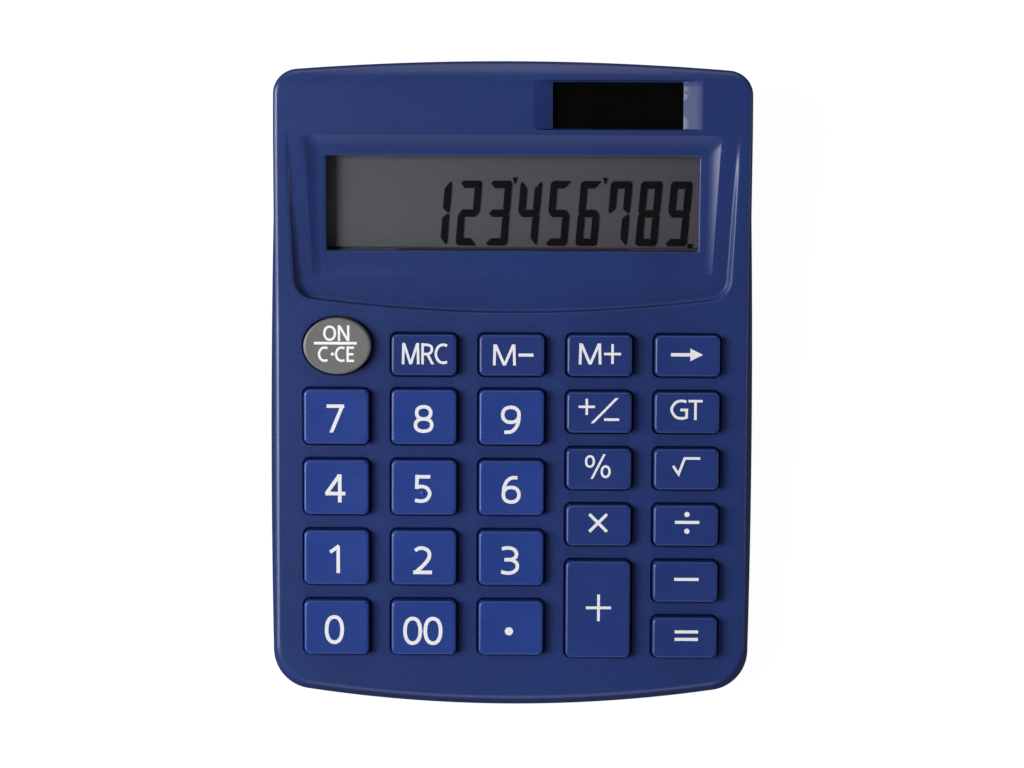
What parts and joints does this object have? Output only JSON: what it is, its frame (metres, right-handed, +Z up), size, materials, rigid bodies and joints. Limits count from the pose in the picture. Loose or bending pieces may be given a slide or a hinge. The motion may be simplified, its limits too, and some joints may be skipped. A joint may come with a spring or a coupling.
{
  "type": "desk calculator",
  "caption": "Wedge-shaped desk calculator: sprung keys on a sloping deck, a recessed liquid crystal display, a solar panel and a sliding battery cover.",
  "frame": {"origin": "on the surface that the calculator stands on, under the middle of its plan", "axes": "+X to the user's right, +Y from the user towards the display end, +Z up"},
  "size_m": [0.1066, 0.141, 0.027],
  "materials": {
    "navy_plastic": "fine satin texture",
    "navy_base_plastic": "fine satin texture",
    "digit_key_plastic": "satin",
    "function_key_plastic": "satin",
    "clear_key_plastic": "satin",
    "clear_acrylic": "polished",
    "lcd_glass": "satin polariser film on glass",
    "solar_glass": "polished",
    "holder_plastic": "as moulded",
    "keypad_rubber": "matt silicone",
    "foot_rubber": "matt",
    "board_laminate": "lacquered",
    "chip_resin": "satin",
    "ribbon_film": "film",
    "screw_steel": "plated",
    "cell_nickel": "plated",
    "contact_brass": "bright",
    "red_insulation": "satin",
    "black_insulation": "satin"
  },
  "bodies": {
    "housing": {"upper_case": "navy_plastic", "lower_case": "navy_base_plastic", "display_window": "clear_acrylic", "lcd_panel": "lcd_glass", "lcd_holder": "holder_plastic", "solar_cell": "solar_glass", "rubber_keypad": "keypad_rubber", "circuit_board": "board_laminate", "controller_chip": "chip_resin", "display_ribbon": "ribbon_film", "button_cell": "cell_nickel", "contact_positive": "contact_brass", "contact_negative": "contact_brass", "solar_lead_1": "red_insulation", "battery_lead_1": "red_insulation", "solar_lead_2": "black_insulation", "battery_lead_2": "black_insulation", "board_screw_1": "screw_steel", "case_screw_1": "screw_steel", "foot_1": "foot_rubber", "board_screw_2": "screw_steel", "case_screw_2": "screw_steel", "foot_2": "foot_rubber", "board_screw_3": "screw_steel", "case_screw_3": "screw_steel", "foot_3": "foot_rubber", "board_screw_4": "screw_steel", "case_screw_4": "screw_steel", "foot_4": "foot_rubber", "holder_screw_left": "screw_steel", "holder_screw_right": "screw_steel"},
    "key_0": {"key_0": "digit_key_plastic"},
    "key_1": {"key_1": "digit_key_plastic"},
    "key_2": {"key_2": "digit_key_plastic"},
    "key_3": {"key_3": "digit_key_plastic"},
    "key_4": {"key_4": "digit_key_plastic"},
    "key_5": {"key_5": "digit_key_plastic"},
    "key_6": {"key_6": "digit_key_plastic"},
    "key_7": {"key_7": "digit_key_plastic"},
    "key_8": {"key_8": "digit_key_plastic"},
    "key_9": {"key_9": "digit_key_plastic"},
    "key_00": {"key_00": "digit_key_plastic"},
    "key_point": {"key_point": "digit_key_plastic"},
    "key_on_clear": {"key_on_clear": "clear_key_plastic"},
    "key_memory_recall": {"key_memory_recall": "function_key_plastic"},
    "key_memory_minus": {"key_memory_minus": "function_key_plastic"},
    "key_memory_plus": {"key_memory_plus": "function_key_plastic"},
    "key_backspace": {"key_backspace": "function_key_plastic"},
    "key_sign": {"key_sign": "function_key_plastic"},
    "key_grand_total": {"key_grand_total": "function_key_plastic"},
    "key_percent": {"key_percent": "function_key_plastic"},
    "key_root": {"key_root": "function_key_plastic"},
    "key_multiply": {"key_multiply": "function_key_plastic"},
    "key_divide": {"key_divide": "function_key_plastic"},
    "key_plus": {"key_plus": "function_key_plastic"},
    "key_minus": {"key_minus": "function_key_plastic"},
    "key_equals": {"key_equals": "function_key_plastic"},
    "battery_cover": {"battery_cover": "navy_base_plastic"}
  },
  "joints": [
    {"name": "press_0", "type": "slide", "parent": "housing", "child": "key_0", "axis": [0, 0.0958, -0.9954], "range_m": [0, 0.0012], "stiffness_N_per_m": 420},
    {"name": "press_1", "type": "slide", "parent": "housing", "child": "key_1", "axis": [0, 0.0958, -0.9954], "range_m": [0, 0.0012], "stiffness_N_per_m": 420},
    {"name": "press_2", "type": "slide", "parent": "housing", "child": "key_2", "axis": [0, 0.0958, -0.9954], "range_m": [0, 0.0012], "stiffness_N_per_m": 420},
    {"name": "press_3", "type": "slide", "parent": "housing", "child": "key_3", "axis": [0, 0.0958, -0.9954], "range_m": [0, 0.0012], "stiffness_N_per_m": 420},
    {"name": "press_4", "type": "slide", "parent": "housing", "child": "key_4", "axis": [0, 0.0958, -0.9954], "range_m": [0, 0.0012], "stiffness_N_per_m": 420},
    {"name": "press_5", "type": "slide", "parent": "housing", "child": "key_5", "axis": [0, 0.0958, -0.9954], "range_m": [0, 0.0012], "stiffness_N_per_m": 420, "deforming": ["rubber_keypad"]},
    {"name": "press_6", "type": "slide", "parent": "housing", "child": "key_6", "axis": [0, 0.0958, -0.9954], "range_m": [0, 0.0012], "stiffness_N_per_m": 420},
    {"name": "press_7", "type": "slide", "parent": "housing", "child": "key_7", "axis": [0, 0.0958, -0.9954], "range_m": [0, 0.0012], "stiffness_N_per_m": 420},
    {"name": "press_8", "type": "slide", "parent": "housing", "child": "key_8", "axis": [0, 0.0958, -0.9954], "range_m": [0, 0.0012], "stiffness_N_per_m": 420},
    {"name": "press_9", "type": "slide", "parent": "housing", "child": "key_9", "axis": [0, 0.0958, -0.9954], "range_m": [0, 0.0012], "stiffness_N_per_m": 420},
    {"name": "press_00", "type": "slide", "parent": "housing", "child": "key_00", "axis": [0, 0.0958, -0.9954], "range_m": [0, 0.0012], "stiffness_N_per_m": 420},
    {"name": "press_point", "type": "slide", "parent": "housing", "child": "key_point", "axis": [0, 0.0958, -0.9954], "range_m": [0, 0.0012], "stiffness_N_per_m": 420},
    {"name": "press_on_clear", "type": "slide", "parent": "housing", "child": "key_on_clear", "axis": [0, 0.0958, -0.9954], "range_m": [0, 0.0012], "stiffness_N_per_m": 420},
    {"name": "press_memory_recall", "type": "slide", "parent": "housing", "child": "key_memory_recall", "axis": [0, 0.0958, -0.9954], "range_m": [0, 0.0012], "stiffness_N_per_m": 420},
    {"name": "press_memory_minus", "type": "slide", "parent": "housing", "child": "key_memory_minus", "axis": [0, 0.0958, -0.9954], "range_m": [0, 0.0012], "stiffness_N_per_m": 420},
    {"name": "press_memory_plus", "type": "slide", "parent": "housing", "child": "key_memory_plus", "axis": [0, 0.0958, -0.9954], "range_m": [0, 0.0012], "stiffness_N_per_m": 420},
    {"name": "press_backspace", "type": "slide", "parent": "housing", "child": "key_backspace", "axis": [0, 0.0958, -0.9954], "range_m": [0, 0.0012], "stiffness_N_per_m": 420},
    {"name": "press_sign", "type": "slide", "parent": "housing", "child": "key_sign", "axis": [0, 0.0958, -0.9954], "range_m": [0, 0.0012], "stiffness_N_per_m": 420},
    {"name": "press_grand_total", "type": "slide", "parent": "housing", "child": "key_grand_total", "axis": [0, 0.0958, -0.9954], "range_m": [0, 0.0012], "stiffness_N_per_m": 420},
    {"name": "press_percent", "type": "slide", "parent": "housing", "child": "key_percent", "axis": [0, 0.0958, -0.9954], "range_m": [0, 0.0012], "stiffness_N_per_m": 420},
    {"name": "press_root", "type": "slide", "parent": "housing", "child": "key_root", "axis": [0, 0.0958, -0.9954], "range_m": [0, 0.0012], "stiffness_N_per_m": 420},
    {"name": "press_multiply", "type": "slide", "parent": "housing", "child": "key_multiply", "axis": [0, 0.0958, -0.9954], "range_m": [0, 0.0012], "stiffness_N_per_m": 420},
    {"name": "press_divide", "type": "slide", "parent": "housing", "child": "key_divide", "axis": [0, 0.0958, -0.9954], "range_m": [0, 0.0012], "stiffness_N_per_m": 420},
    {"name": "press_plus", "type": "slide", "parent": "housing", "child": "key_plus", "axis": [0, 0.0958, -0.9954], "range_m": [0, 0.0012], "stiffness_N_per_m": 420},
    {"name": "press_minus", "type": "slide", "parent": "housing", "child": "key_minus", "axis": [0, 0.0958, -0.9954], "range_m": [0, 0.0012], "stiffness_N_per_m": 420},
    {"name": "press_equals", "type": "slide", "parent": "housing", "child": "key_equals", "axis": [0, 0.0958, -0.9954], "range_m": [0, 0.0012], "stiffness_N_per_m": 420},
    {"name": "cover_slide", "type": "slide", "parent": "housing", "child": "battery_cover", "axis": [0, 1, 0], "range_m": [0, 0.03]}
  ]
}
